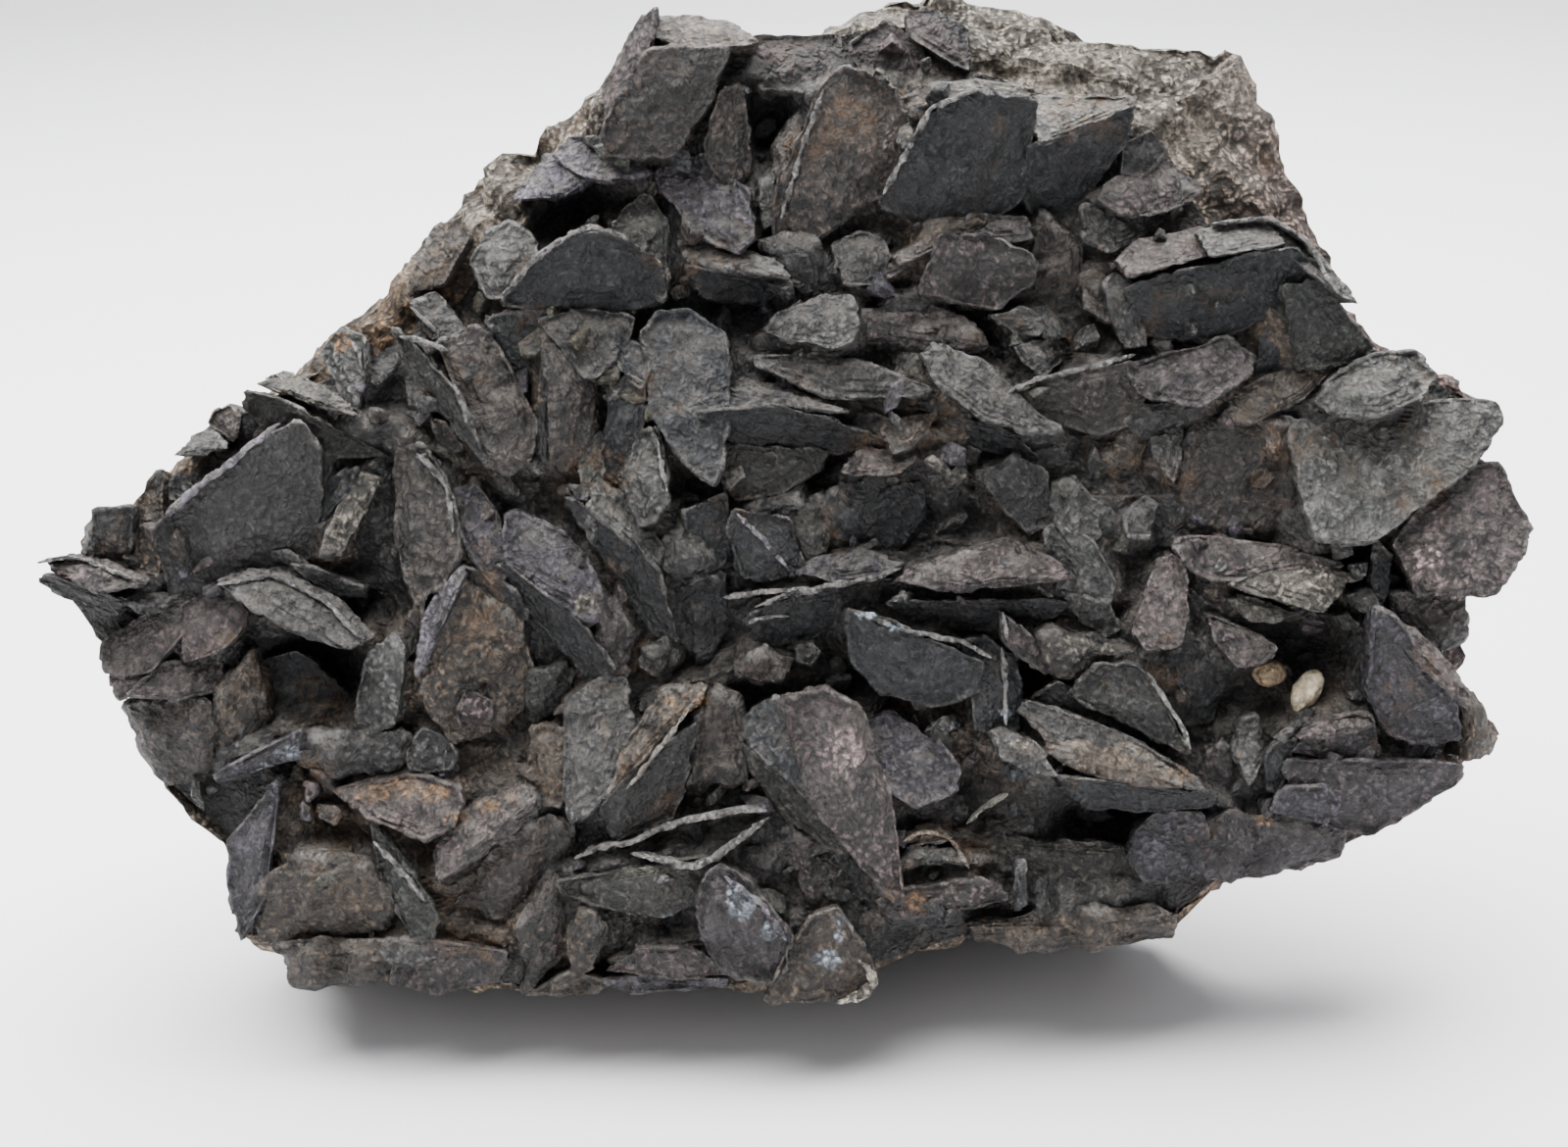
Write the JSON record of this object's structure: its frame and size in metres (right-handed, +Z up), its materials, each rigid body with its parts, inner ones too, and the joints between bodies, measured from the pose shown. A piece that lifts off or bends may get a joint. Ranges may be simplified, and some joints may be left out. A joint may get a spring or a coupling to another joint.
{
  "type": "siderite with goethite mineral specimen",
  "caption": "Rock block with a front of thick overlapping dark bladed crystals, for display; it stands upright on its flat broken base",
  "frame": {"origin": "centre of the specimen's box, on the surface it stands on", "axes": "X across the crystal face, Y from the crystal face at the front to the back, Z up"},
  "size_m": [0.2596, 0.0972, 0.1745],
  "materials": {
    "granular_rock": "rough granular matrix, tan to cream with rusty patches",
    "altered_siderite": "dark violet-brown to grey-green bladed crystals, finely pitted, dull to satin, with paler worn rims",
    "pale_quartz": "pale cream granular quartz"
  },
  "bodies": {
    "root": {"matrix": "granular_rock", "siderite_crystals": "altered_siderite", "quartz_grain_long": "pale_quartz", "quartz_grain_round": "pale_quartz"}
  },
  "joints": []
}
